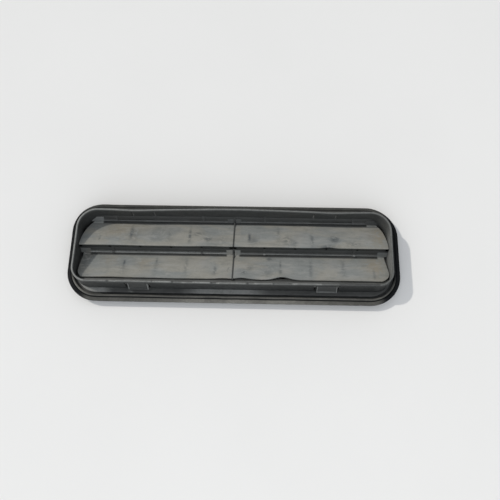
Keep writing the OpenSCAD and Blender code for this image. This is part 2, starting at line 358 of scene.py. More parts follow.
def sealRubber():
    # Black rubber with a pale film of dust from a layer.
    material, tree, shader = newMaterial("sealRubber")
    place = addNode(tree, "ShaderNodeTexCoord").outputs["Object"]
    cloud = noiseOf(tree, place, 70, 5, 0.6)
    speck = noiseOf(tree, place, 600, 3, 0.6)
    dustAndLightShare = mathOf(tree, "MULTIPLY", layerOf(tree, "dustWithPaintedLight"), rangeOf(tree, cloud, 0.3, 0.7, 0.7, 1.1))
    dustAndLightShare = mathOf(tree, "MULTIPLY", dustAndLightShare, rangeOf(tree, speck, 0.3, 0.7, 0.8, 1.1))
    colour = mixOf(tree, dustAndLightShare, (0.006, 0.007, 0.008, 1), (0.250, 0.246, 0.222, 1))
    tree.links.new(colour, shader.inputs["Base Color"])
    tree.links.new(rangeOf(tree, cloud, 0.3, 0.7, 0.55, 0.75), shader.inputs["Roughness"])
    shader.inputs["Specular IOR Level"].default_value = 0.12
    tree.links.new(bumpOf(tree, noiseOf(tree, place, 1100, 3), 0.05, 0.5), shader.inputs["Normal"])
    return material


framePlastic = mouldedPlastic()
flapMaterial = flapRubber()
sealMaterial = sealRubber()
print("materials made")


# Wall with its rim: each column of the grid is one place round the outline, with its own top
wall = {
    "clipX": 85.5,
    "clipWidth": 19.0,
    "slitWidth": 1.8,
    "slitBottom": 11.3,
    "slitTop": 26.5,
    "rimRound": 0.6,
    "footInset": 0.35,
    "bowMiddleBack": 1.3,      # how far the back rim stands out in the middle
    "bowNearClips": -0.9,      # and how far it falls in near the clips
    "bowMiddleFront": 0.5,
    "step": 0.9,               # spacing of the columns along the long sides
    # the front rim's stretches: up to this X, how far the rim is rubbed down, how pale it is
    "frontRim": [
        (-117, 0.0, 0.5), (-112.2, 0.1, 0.8), (-109.6, 0.7, 0.05), (-105.5, 0.45, 0.75), (-103.2, 0.9, 1.0),
        (-88.5, 0.0, 0.65), (-71.8, 0.15, 0.75), (-69.8, 0.5, 0.35), (-53.4, 0.0, 1.0), (-51.8, 0.7, 0.0),
        (-44.5, 0.75, 0.45), (-40.5, 0.95, 0.9), (-34.8, 0.75, 0.5), (-18.3, 0.0, 1.0), (-16.6, 0.8, 0.0),
        (-13.2, 0.9, 0.25), (-10.2, 0.8, 1.0), (4.0, 0.1, 0.7), (13.6, 0.1, 0.85), (15.8, 0.7, 0.05),
        (21.0, 0.5, 0.5), (23.6, 0.1, 1.0), (37.2, 0.15, 0.7), (38.8, 0.7, 0.05), (54.6, 0.75, 0.35),
        (58.2, 0.4, 1.0), (76.0, 0.1, 0.7), (81.0, 0.2, 0.9), (96.0, 0.15, 0.4), (110.0, 0.1, 0.15), (200.0, 0.0, 0.08),
    ],
    "paleLeft": 0.95,          # how pale the rest of the rim is at the left end
    "paleRight": 0.42,         # and at the right end
    "rightEndDustAndLight": 0.78,          # dust on the right end's inner face, partly painted light where the sun falls on it
    "cleanFront": (0.03, 0.09),        # how much cleaner the front's outer face gets to the right
}


def rimStretches(x):
    # How far the front rim is rubbed down and how pale it is at each X.
    drop, pale = np.zeros(len(x)), np.zeros(len(x))
    start = -200.0
    for end, fall, light in wall["frontRim"]:
        here = smoothStep(x, start - 0.35, start + 0.35) * (1 - smoothStep(x, end - 0.35, end + 0.35))
        drop += fall * here
        pale += light * here
        start = end
    return drop, pale


def wallColumns():
    # Outline points and normals, the long sides sampled also at both edges of every slit.
    edges = [clip + side * (wall["clipWidth"] / 2 + outer * wall["slitWidth"])
             for clip in (-wall["clipX"], wall["clipX"]) for side in (-1, 1) for outer in (0, 1)]
    halves = []
    for corner in (body["cornerBottom"], body["cornerTop"]):
        half = body["wallLength"] / 2 - corner
        even = np.linspace(-half, half, int(2 * half / wall["step"]))
        even = even[np.min(np.abs(even[:, None] - np.array(edges)[None]), 1) > 0.2]
        halves.append((np.sort(np.concatenate([even, edges])) + half) / (2 * half))
    points, normals = [], []
    for side, part in zip(halves, (0, 1)):
        p, n = outline(body["wallLength"], body["wallWidth"], body["cornerTop"], body["cornerBottom"], side, 34, 22)
        half = len(p) // 2
        points.append(p[part * half:(part + 1) * half])
        normals.append(n[part * half:(part + 1) * half])
    return np.concatenate(points), np.concatenate(normals)


def buildWall():
    # Closed section of the wall carried round its outline: P = outline point minus normal times inset.
    # Along the section, heights are fixed up to the slits' top, and above it hang from the rim.
    points, normals = wallColumns()
    x, y = points[:, 0], points[:, 1]
    front, back = normals[:, 1] < -0.99, normals[:, 1] > 0.99
    drop, pale = rimStretches(x)
    top = body["rimHeight"] - 0.12 * (0.5 + 0.5 * np.sin(x * 0.21 + 1.3 * y)) - 0.06 * np.sin(x * 0.83 + 0.7 * y)
    top = np.where(front, top - drop, top)
    bow = np.where(back, wall["bowMiddleBack"] * bellAt(x, 0, 48), 0.0)
    bow += np.where(back, wall["bowNearClips"] * (bellAt(x, 92, 22) + bellAt(x, -92, 22)), 0)
    bow += np.where(front, wall["bowMiddleFront"] * bellAt(x, 0, 60), 0)

    thick, rounding = body["wallThickness"], wall["rimRound"]
    fixed = np.array([wall["footInset"], 4, 8, wall["slitBottom"], 14, 17, 20, 23, wall["slitTop"]])
    turn = np.linspace(0, math.pi / 2, 5)
    arc = [(rounding * (1 - math.cos(t)), rounding * (1 - math.sin(t))) for t in turn]
    inset = [wall["footInset"]] + [0] * len(fixed) + [a for a, _ in arc]
    inset += [thick - a for a, _ in arc[::-1]] + [thick] * len(fixed) + [thick - wall["footInset"]]
    height = np.concatenate([[0], fixed, np.zeros(2 * len(arc)), fixed[::-1], [0]])
    fall = np.concatenate([np.zeros(1 + len(fixed)), [f for _, f in arc], [f for _, f in arc[::-1]], np.zeros(1 + len(fixed))])
    hangs = np.zeros(len(height), bool)
    hangs[1 + len(fixed):1 + len(fixed) + 2 * len(arc)] = True
    inset = np.array(inset, float)
    z = np.where(hangs[None, :], top[:, None] - fall[None, :], height[None, :])
    away = -inset[None, :] + smoothStep(z, 12, body["rimHeight"]) * bow[:, None]
    allPoints = np.stack([x[:, None] + normals[:, 0, None] * away, y[:, None] + normals[:, 1, None] * away, z], -1)

    # windows: the quads between a slit's edges go, and its four inner sides come
    count, rows = len(height), len(points)
    low = 1 + int(np.argmin(np.abs(fixed - wall["slitBottom"])))
    high = 1 + int(np.argmin(np.abs(fixed - wall["slitTop"])))
    lowIn, highIn = count - 1 - low, count - 1 - high
    faces = gridFaces(rows, count, closeRows=True, closeColumns=True)
    column, level = np.arange(rows * count) // count, np.arange(rows * count) % count
    keep = np.ones(len(faces), bool)
    lining = []
    for clip in (-wall["clipX"], wall["clipX"]):
        for side in (-1, 1):
            a = clip + side * wall["clipWidth"] / 2
            b = a + side * wall["slitWidth"]
            for face in (front, back):
                within = np.flatnonzero(face & (x > min(a, b) - 0.01) & (x < max(a, b) + 0.01))
                first, last = within[0], within[-1]
                isIn = (column >= first) & (column < last)
                keep &= ~(isIn & (((level >= low) & (level < high)) | ((level >= highIn) & (level < lowIn))))
                for c in range(first, last):
                    for outerRow, innerRow in ((low, lowIn), (high, highIn)):
                        lining.append([c * count + outerRow, (c + 1) * count + outerRow,
                                       (c + 1) * count + innerRow, c * count + innerRow])
                for c in (first, last):
                    for k in range(high - low):
                        lining.append([c * count + low + k, c * count + low + k + 1,
                                       c * count + lowIn - k - 1, c * count + lowIn - k])
    faces = np.concatenate([faces[keep], np.array(lining)])

    middle = bellAt(inset, thick / 2, thick * 0.42)[None, :] * smoothStep(z, wall["slitTop"] + 1, body["rimHeight"] - 1.1)
    along = np.where(front, pale, wall["paleRight"] + (wall["paleLeft"] - wall["paleRight"]) * smoothStep(-x, -150, 150))
    along = np.where(back, along * 0.85, along)
    worn = along[:, None] * middle
    isInner = (inset > thick - 0.01)[None, :] & (z > 3)
    # dust on the right end's inner face where the sun reaches it, thinned towards the back corner: partly dust, partly
    # painted light and painted shade
    dustWithPaintedLight = wall["rightEndDustAndLight"] * isInner * (smoothStep(x, 132, 142) * (1 - 0.85 * smoothStep(y, 8, 29)))[:, None]
    cleaner = wall["cleanFront"][0] + wall["cleanFront"][1] * smoothStep(x, 20, 110)
    dustWithPaintedLight = dustWithPaintedLight - (~isInner & (y < 0)[:, None]) * cleaner[:, None]
    return makePiece("frameWall", allPoints.reshape(-1, 3), faces, framePlastic, "frame",
                     layers={"worn": worn.ravel(), "dustWithPaintedLight": dustWithPaintedLight.ravel()})


frameWall = buildWall()
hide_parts("frame")
print("wall made")


# Flange: rings between the wall's outline and the flange's, each at its own height
flange = {
    "plateThickness": 1.5,
    "landHeight": 1.5,
    "sealOut": 2.0,
    "landIn": 8.4,
    "edgeRound": 0.3,
    "dustX": -6.0,           # middle of the dusty stretch along the front
    "dustFrom": 14.0,        # distance from there at which the dust starts to thin
    "dustTo": 46.0,
    "cornerDustAndLight": 0.75,
    "spotX": -92.3,          # a small pale spot at the land's edge
    # corners that stand a little out of the plain outline: side in X, side in Y, how far
    "nudges": [(-1, 1, 1.3), (-1, -1, -0.7), (1, 1, -0.5)],
    "nudgeWidth": 17.0,
}


def flangeOutline(places, shortCount, arcCount):
    # The flange's outline with each corner shifted outwards by its nudge, as a bell round its middle.
    corner = body["flangeCorner"]
    points, normals = outline(body["flangeLength"], body["flangeWidth"], corner, corner, places, shortCount, arcCount)
    inset = corner * (1 - math.sqrt(0.5))
    shift = np.zeros(len(points))
    for sx, sy, amount in flange["nudges"]:
        middle = np.array([sx * (body["flangeLength"] / 2 - inset), sy * (body["flangeWidth"] / 2 - inset)])
        shift += amount * bellAt(np.linalg.norm(points - middle, axis=1), 0, flange["nudgeWidth"])
    return points + normals * shift[:, None], normals


def buildFlange():
    # Rings lofted from the wall to the flange's edge and back under it.
    places = np.linspace(0, 1, 150)
    wallPoints, wallNormals = outline(body["wallLength"], body["wallWidth"], body["cornerTop"],
                                      body["cornerBottom"], places, 30, 24)
    outPoints, outNormals = flangeOutline(places, 30, 24)
    top = body["flangeTop"]
    plateTop = top - flange["landHeight"]
    plateBottom = plateTop - flange["plateThickness"]
    r, land, edge = flange["edgeRound"], flange["landIn"], flange["sealOut"] + 0.05
    inner, outer = wallPoints + wallNormals * 0.2, outPoints - outNormals * (land + r)
    rings = [(wallPoints - wallNormals * 0.9, plateBottom), (wallPoints - wallNormals * 0.9, top), (inner, top)]
    rings += [(inner + (outer - inner) * 0.5, top), (outer, top)]
    for inset, z in ((land + r * 0.3, top - r * 0.3), (land, top - r), (land, plateTop), (edge, plateTop), (edge, plateBottom)):
        rings.append((outPoints - outNormals * inset, z))
    points = np.stack([np.column_stack([ring, np.full(len(ring), z)]) for ring, z in rings]).reshape(-1, 3)
    faces = gridFaces(len(rings), len(wallPoints), closeRows=True, closeColumns=True)
    x, y, z = points.T
    onFront = (z > top - 0.05) & (y < -body["wallWidth"] / 2 + 1)
    away = np.abs(x - flange["dustX"])
    dustWithPaintedLight = np.where(onFront, 0.85 * (1 - smoothStep(away, flange["dustFrom"], flange["dustTo"])), 0)
    dustWithPaintedLight = np.where(onFront & (x < -body["wallLength"] / 2 + 34), 0.2, dustWithPaintedLight)
    dustWithPaintedLight -= 0.3 * smoothStep(np.abs(x), body["wallLength"] / 2 - 8, body["wallLength"] / 2 - 1) * (y > -body["wallWidth"] / 2 + 6)
    # a pale patch at the front-left corner: dust, and a painted pool of the sunlight that falls past the wall's shadow
    # there
    cornerAway = np.hypot(x + body["flangeLength"] / 2 - 18, y + body["flangeWidth"] / 2 - 12)
    dustWithPaintedLight = np.maximum(dustWithPaintedLight, flange["cornerDustAndLight"] * (1 - smoothStep(cornerAway, 16, 27)))
    # painted shade: below the land's top, the groove's floor included, the plastic gets no film and stays bare black
    dustWithPaintedLight = np.where(z < top - 0.4, -0.3, dustWithPaintedLight)
    worn = 0.9 * bellAt(x, flange["spotX"], 1.5) * (onFront & (y < -body["wallWidth"] / 2 - 3.5))
    return makePiece("frameFlange", points, faces, framePlastic, "frame",
                     layers={"worn": worn, "dustWithPaintedLight": dustWithPaintedLight})


frameFlange = buildFlange()
print("flange made")


# Inside of the frame: sections in Y and Z, drawn from a row's back face and carried along X
inside = {
    "shoulder": 15.5,
    "shoulderFoot": (2.6, 11.3),     # depth and height at which the shoulder turns into the lip
    "lipThickness": 1.0,
    "lipTip": 3.6,
    "lipStart": 6.0,
    "lipStops": (126.0, 134.8),
    "railUnder": 3.0,
    "barThickness": 2.2,
    "barBottom": 2.0,
    "dividerUp": 0.5,
    "stayWidth": 2.2,
    "stayIn": 29.3,
    "stayOut": 31.0,
    "stayUp": 1.3,
    "ribs": 4,
    "ribThickness": 1.5,
    "ribHeight": 5.0,
    "seatWidth": 2.8,
    "ledgeStep": 0.35,
    "ledgeDust": 0.22,
    # dust on the lips: row from the back, then left and right
    "lipDust": [(0.08, 0.08), (0.62, 0.30)],
    "stayDust": [(0.0, 0.0), (0.0, 0.6)],
}
lipZ = hingeZ + body["beadRadius"] + body["seatGap"] + inside["lipThickness"]


def overFlap(depth, t):
    # Height of a line parallel to the flap, t over its middle, at a depth from the row's back face.
    return hingeZ + (depth - body["railDepth"]) * math.tan(slope) + t / math.cos(slope)


def insideLimits(y, extra=0.9):
    # Each point's lowest and highest X, a little inside the end walls.
    half = halfLength(y, body["wallThickness"] - extra)
    return -half, half


def spanLimits(a, b, count):
    return np.full(count, float(a)), np.full(count, float(b))


def rowSections(row):
    # Parts of one row: rail, lips, stays, ribs and divider, as lists of points and faces.
    face = rowFaces[row]
    depth, gap = body["railDepth"], body["seatGap"]
    under = -body["flapThickness"] / 2 - gap
    groove = body["beadRadius"] + gap
    lipEdge = -depth + gap
    parts = []

    footDepth, footZ = inside["shoulderFoot"]

    def shoulderAt(y):
        return inside["shoulder"] - y / footDepth * (footZ - inside["shoulder"])

    backY = -depth + body["beadRadius"]
    backTurn = math.acos(body["beadRadius"] / groove)
    seatReach = math.sqrt(groove ** 2 - under ** 2)
    frontPoint = (-seatReach * math.cos(slope) + under * math.sin(slope),
                  seatReach * math.sin(slope) + under * math.cos(slope))
    frontTurn = math.atan2(frontPoint[1], frontPoint[0])
    turn = np.linspace(backTurn, frontTurn if frontTurn < 0 else frontTurn - 2 * math.pi, 22)
    section = [(0.9, inside["shoulder"]), (0, inside["shoulder"]), (backY, shoulderAt(backY))]
    section += [(-depth + groove * math.cos(t), hingeZ + groove * math.sin(t)) for t in turn]
    section += [(-depth - inside["railUnder"], overFlap(depth + inside["railUnder"], under)),
                (-depth - inside["railUnder"], inside["barBottom"]), (0.9, inside["barBottom"])]
    section = np.array(section) + [face, 0]
    parts.append(alongX(section, np.linspace(0, 1, 60), insideLimits(section[:, 0])))

    # lips on the left and on the right: a flat step in front of the shoulder, over the bead
    turn = np.linspace(math.acos((depth - inside["lipTip"] + 0.1) / groove), backTurn, 7)
    lip = [(backY + 0.5, shoulderAt(backY + 0.5)), (-footDepth, footZ), (-inside["lipTip"] + 0.3, lipZ + 0.3),
           (-inside["lipTip"], lipZ - 0.05), (-inside["lipTip"] + 0.05, lipZ - 0.5)]
    lip += [(-depth + groove * math.cos(t), hingeZ + groove * math.sin(t)) for t in turn]
    lip += [(backY + 0.5, hingeZ + 0.8)]
    lip = np.array(lip) + [face, 0]
    stop = np.minimum(halfLength(lip[:, 1], body["wallThickness"] - 0.3), inside["lipStops"][row])
    start = np.full(len(lip), inside["lipStart"])
    for limits, dustAndPaintedLight in zip(((-stop, -start), (start, stop)), inside["lipDust"][row]):
        parts.append(alongX(lip, np.linspace(0, 1, 40), limits, dustAndPaintedLight))

    stay = np.array([(0.5, inside["shoulder"] + inside["stayUp"]), (0, inside["shoulder"] + inside["stayUp"]),
                     (-footDepth, footZ + inside["stayUp"] * 0.8), (-depth - 0.1, lipZ + 0.9), (-depth - 0.3, lipZ + 0.3),
                     (-footDepth, footZ - 0.5), (0, inside["shoulder"] - 1), (0.5, inside["shoulder"] - 1)]) + [face, 0]
    for side, end in enumerate((-1, 1)):
        for place in (inside["stayIn"], innerLength / 2 - inside["stayOut"]):
            low, high = end * place - inside["stayWidth"] / 2, end * place + inside["stayWidth"] / 2
            dustAndPaintedLight = np.where(stay[:, 1] < 12, inside["stayDust"][row][side], 0)
            parts.append(alongX(stay, [0, 1], spanLimits(low, high, len(stay)), dustAndPaintedLight))

    start = depth + inside["railUnder"] / 2
    rib = np.array([(-start, overFlap(start, under)), (-rowPitch, overFlap(rowPitch, under)),
                    (-rowPitch, overFlap(rowPitch, under) - inside["ribHeight"]),
                    (-start, overFlap(start, under) - inside["ribHeight"])]) + [face, 0]
    bay = (innerLength - body["dividerThickness"]) / 2
    spans = []
    for end in (-1, 1):
        for k in range(1, inside["ribs"] + 1):
            middle = end * (body["dividerThickness"] / 2 + k * bay / (inside["ribs"] + 1))
            spans.append((middle - inside["ribThickness"] / 2, middle + inside["ribThickness"] / 2))
    wide = body["dividerThickness"] / 2 + inside["seatWidth"]
    spans.append((-wide, wide))
    for a, b in spans:
        parts.append(alongX(rib, [0, 1], spanLimits(a, b, len(rib))))
    for end in (-1, 1):
        edge = halfLength(rib[:, 0], body["wallThickness"] - 0.9)
        inner = np.full(len(rib), innerLength / 2 - inside["seatWidth"])
        low, high = (inner, edge) if end > 0 else (-edge, -inner)
        parts.append(alongX(rib, [0, 1], (low, high)))

    top = body["flapThickness"] / 2 + inside["dividerUp"]
    lipTop = lipZ + inside["dividerUp"]
    divider = np.array([(0.9, inside["barBottom"]), (0.9, inside["shoulder"] + inside["dividerUp"]),
                        (0, inside["shoulder"] + inside["dividerUp"]), (lipEdge, lipTop),
                        (-depth - (lipTop - overFlap(depth, top)) / math.tan(slope), lipTop),
                        (-rowPitch, overFlap(rowPitch, top)), (-rowPitch, inside["barBottom"])]) + [face, 0]
    half = body["dividerThickness"] / 2
    parts.append(alongX(divider, [0, 1], spanLimits(body["dividerX"] - half, body["dividerX"] + half, len(divider))))
    return parts


def barSection(face):
    # Bar under a free edge, its top parallel to the flap.
    under = -body["flapThickness"] / 2 - body["seatGap"]
    t = inside["barThickness"]
    section = np.array([(0, inside["barBottom"]), (t, inside["barBottom"]),
                        (t, overFlap(rowPitch - t, under)), (0, overFlap(rowPitch, under))]) + [face, 0]
    return alongX(section, np.linspace(0, 1, 40), insideLimits(section[:, 0]))


def buildInside():
    parts = []
    for row in (0, 1):
        parts += rowSections(row)
    parts.append(barSection(rowFaces[1]))
    last = rowFaces[1] - rowPitch
    parts.append(barSection(last))
    seatZ = overFlap(rowPitch, -body["flapThickness"] / 2 - body["seatGap"])
    low = seatZ - inside["ledgeStep"]
    ledge = np.array([(-0.05, low), (-0.05, low - inside["ribThickness"]),
                      (-body["ledgeDepth"] - 0.9, low - inside["ribThickness"]), (-body["ledgeDepth"] - 0.9, low)]) + [last, 0]
    parts.append(alongX(ledge, np.linspace(0, 1, 40), insideLimits(ledge[:, 0], 0.7), inside["ledgeDust"]))
    points, faces, dustWithPaintedLight = joined(parts)
    piece = makePiece("frameInside", points, faces, framePlastic, "frame",
                      layers={"worn": np.zeros(len(points)), "dustWithPaintedLight": dustWithPaintedLight})
    return bevelled(piece, 0.15)


frameInside = buildInside()
print("inside of the frame made")


# Root tabs: strips of the flaps' rubber that stay on the rail where the lips are cut away
tab = {
    "thickness": 0.5,
    "over": 0.12,
    "middleLeft": (-6.2, -0.4),
    "middleRight": (1.6, 6.9),
    "endFrom": (125.2, 134.2),
    # how much painted shade darkens each: beside the divider, left end, right end; back row, then front row
    "dark": [(0.75, 0.35, 0.85), (0.15, 0.45, 0.35)],
}


def buildTabs():
    # Thin strips that follow the shoulder and bend down over the bead.
    parts = []
    footDepth, footZ = inside["shoulderFoot"]
    rise, t = tab["over"], tab["thickness"]
    steep = (inside["shoulder"] - footZ) / footDepth
    under = [(-0.75, inside["shoulder"] - 0.75 * steep + rise), (-footDepth, footZ + rise), (-3.2, 10.55), (-3.75, 10.2)]
    over = [(-3.85, 10.55), (-3.25, 11.1), (-footDepth - 0.1, footZ + rise + t), (-0.85, inside["shoulder"] - 0.75 * steep + rise + t * 0.7)]
    section = np.array(under + over)
    for face, endFrom, (beside, left, right) in zip(rowFaces, tab["endFrom"], tab["dark"]):
        placed = section + [face, 0]
        edge = halfLength(placed[:, 0], body["wallThickness"] + 0.15)
        inner = np.full(len(placed), endFrom)
        edge = np.maximum(edge, inner + 0.5)
        for limits, dark in ((spanLimits(*tab["middleLeft"], len(placed)), beside), (spanLimits(*tab["middleRight"], len(placed)), beside),
                             ((-edge, -inner), left), ((inner, edge), right)):
            parts.append(alongX(placed, np.linspace(0, 1, 6), limits, dark))
    points, faces, dark = joined(parts)
    none = np.zeros(len(points))
    # the tabs' darkness is painted shade
    piece = makePiece("rubberTabs", points, faces, flapMaterial, "frame", sharpDegrees=60,
                      layers={"stainsAndShade": none + 0.25, "scuffsAndHighlight": none, "warm": none, "paintedShade": dark})
    return bevelled(piece, 0.1)


rubberTabs = buildTabs()
print("tabs made")


# Barbs on the clips: a hollow wedge of two side ribs, a catch bar and a face set back between them
barb = {
    "out": 2.8,
    "catch": 14.0,
    "flat": 1.2,
    "height": 9.0,
    "in": 0.3,
    "rib": 0.9,
    "setBack": 1.3,
    "shift": 0.6,
    "curve": 1.15,           # how hollow the sloping face is
    # pale rubbing of left rib, catch bar and right rib: left clip, then right clip
    "rubbed": [(0.42, 0.02, 0.5), (0.34, 0.3, 0.42)],
}


def barbSection(out, side):
    # Section of a wedge that stands out by out: the sloping face is a shallow hollow curve.
    rise = np.linspace(0, 1, 7)
    top = barb["catch"] + barb["flat"] + barb["height"]
    slopeFace = np.stack([out * (1 - rise) ** barb["curve"], top - barb["height"] * (1 - rise)], 1)
    section = np.concatenate([[(-0.9, barb["catch"]), (out, barb["catch"])], slopeFace, [(-0.9, top)]])
    return np.stack([side * (section[:, 0] + body["wallWidth"] / 2 + 0.1), section[:, 1]], 1)


def buildBarbs():
    # Wedges carried across each clip: deep ones for the ribs and a shallow one between them.
    parts = []
    for index, end in enumerate((-1, 1)):
        for side in (-1, 1):
            a = end * wall["clipX"] - wall["clipWidth"] / 2 + barb["in"] + barb["shift"]
            b = end * wall["clipX"] + wall["clipWidth"] / 2 - barb["in"] + barb["shift"]
            full, shallow = barbSection(barb["out"], side), barbSection(barb["out"] - barb["setBack"], side)
            left, bar, right = barb["rubbed"][index]
            parts.append(alongX(full, [0, 1], spanLimits(a, a + barb["rib"], len(full)), left))
            parts.append(alongX(full, [0, 1], spanLimits(b - barb["rib"], b, len(full)), right))
            parts.append(alongX(shallow, [0, 1], spanLimits(a + barb["rib"] / 2, b - barb["rib"] / 2, len(shallow))))
            catch = np.array([(-0.9, barb["catch"]), (barb["out"], barb["catch"]), (barb["out"], barb["catch"] + barb["flat"]),
                              (-0.9, barb["catch"] + barb["flat"])])
            catch = np.stack([side * (catch[:, 0] + body["wallWidth"] / 2 + 0.1), catch[:, 1]], 1)
            parts.append(alongX(catch, [0, 1], spanLimits(a + barb["rib"] / 2, b - barb["rib"] / 2, len(catch)), bar))
    points, faces, dustWithPaintedLight = joined(parts)
    piece = makePiece("frameBarbs", points, faces, framePlastic, "frame",
                      layers={"worn": np.zeros(len(points)), "dustWithPaintedLight": dustWithPaintedLight})
    return bevelled(piece, 0.15)


frameBarbs = buildBarbs()
print("barbs made")


# Seal: its section is a smooth closed line, carried round the flange's outline
seal = {
    "out": 2.0,
    "in": 4.2,
    "ridge": 2.2,
    "plateTop": -1.5,
    "plateBottom": -3.0,
    "under": 0.9,
    "back": 2.6,
    "wave": 0.18,
    "skirtDust": (0.36, 0.30),     # along the front, and more of it in the middle
    "ridgeDust": 0.40,
    "ridgeMore": 0.35,            # more where the ridge turns to the left
    "backDust": 0.25,
}


def buildSeal():
    # Rings at a distance in from the outer edge and a height over the flange.
    lipIn = seal["out"] + seal["in"]
    r = seal["ridge"]
    section = [(0.0, -1.1), (0.02, -0.75), (0.3, -0.3), (0.8, -0.05), (1.6, 0.25), (2.4, 0.5), (3.0, 0.6), (3.5, 0.45),
               (3.8, 0.22), (4.1, 0.6), (4.4, r - 0.7), (4.6, r - 0.2), (4.9, r), (5.3, r), (5.7, r - 0.1),
               (lipIn - 0.2, r - 0.4), (lipIn - 0.1, r - 1.0), (lipIn, 0.0), (lipIn, seal["plateTop"]),
               (seal["out"], seal["plateTop"]), (seal["out"], seal["plateBottom"]),
               (seal["out"] + seal["back"], seal["plateBottom"]), (seal["out"] + seal["back"], seal["plateBottom"] - seal["under"]),
               (seal["out"] + seal["back"] - 1.0, seal["plateBottom"] - seal["under"]),
               (seal["out"] / 2, seal["plateBottom"] - seal["under"]), (0.4, -2.4), (0.1, -1.6)]
    section = np.array(section)
    points, normals = flangeOutline(np.linspace(0, 1, 170), 30, 36)
    turn = np.arctan2(points[:, 1], points[:, 0])
    wave = seal["wave"] * (np.sin(9 * turn + 0.6) + 0.6 * np.sin(17 * turn + 2.0)) / 1.6
    free = smoothStep(section[:, 1], -0.6, 1.2)
    inwards = section[None, :, 0] + free[None, :] * np.maximum(wave, -0.1)[:, None]
    ring = points[:, None, :] - normals[:, None, :] * inwards[..., None]
    z = body["flangeTop"] + section[None, :, 1] + 0.5 * free[None, :] * wave[:, None]
    flat = np.concatenate([ring, z[..., None]], -1).reshape(-1, 3)
    faces = gridFaces(len(points), len(section), closeRows=True, closeColumns=True)
    x = flat[:, 0]
    front = np.repeat(smoothStep(-normals[:, 1], 0.84, 1.0), len(section))
    frontAndCorners = np.repeat(smoothStep(-normals[:, 1], 0.0, 0.6), len(section))
    back = np.repeat(smoothStep(normals[:, 1], 0.55, 0.97), len(section))
    facesLeft = np.repeat(smoothStep(-normals[:, 0], 0.1, 0.6), len(section))
    skirt = np.tile((section[:, 0] < 3.2) & (section[:, 1] > -0.8), len(points))
    ridge = np.tile((section[:, 0] > 4.3) & (section[:, 1] > 1.2), len(points))
    dustWithPaintedLight = front * skirt * (seal["skirtDust"][0] + seal["skirtDust"][1] * (1 - smoothStep(np.abs(x - 5), 35, 110)))
    dustWithPaintedLight += frontAndCorners * ridge * (seal["ridgeDust"] + seal["ridgeMore"] * facesLeft)
    dustWithPaintedLight += back * seal["backDust"] * (skirt | ridge)
    return makePiece("flangeSeal", flat, faces, sealMaterial, "frame", sharpDegrees=48,
                     layers={"dustWithPaintedLight": dustWithPaintedLight})


flangeSeal = buildSeal()
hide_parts("flange_seal")
print("seal made")


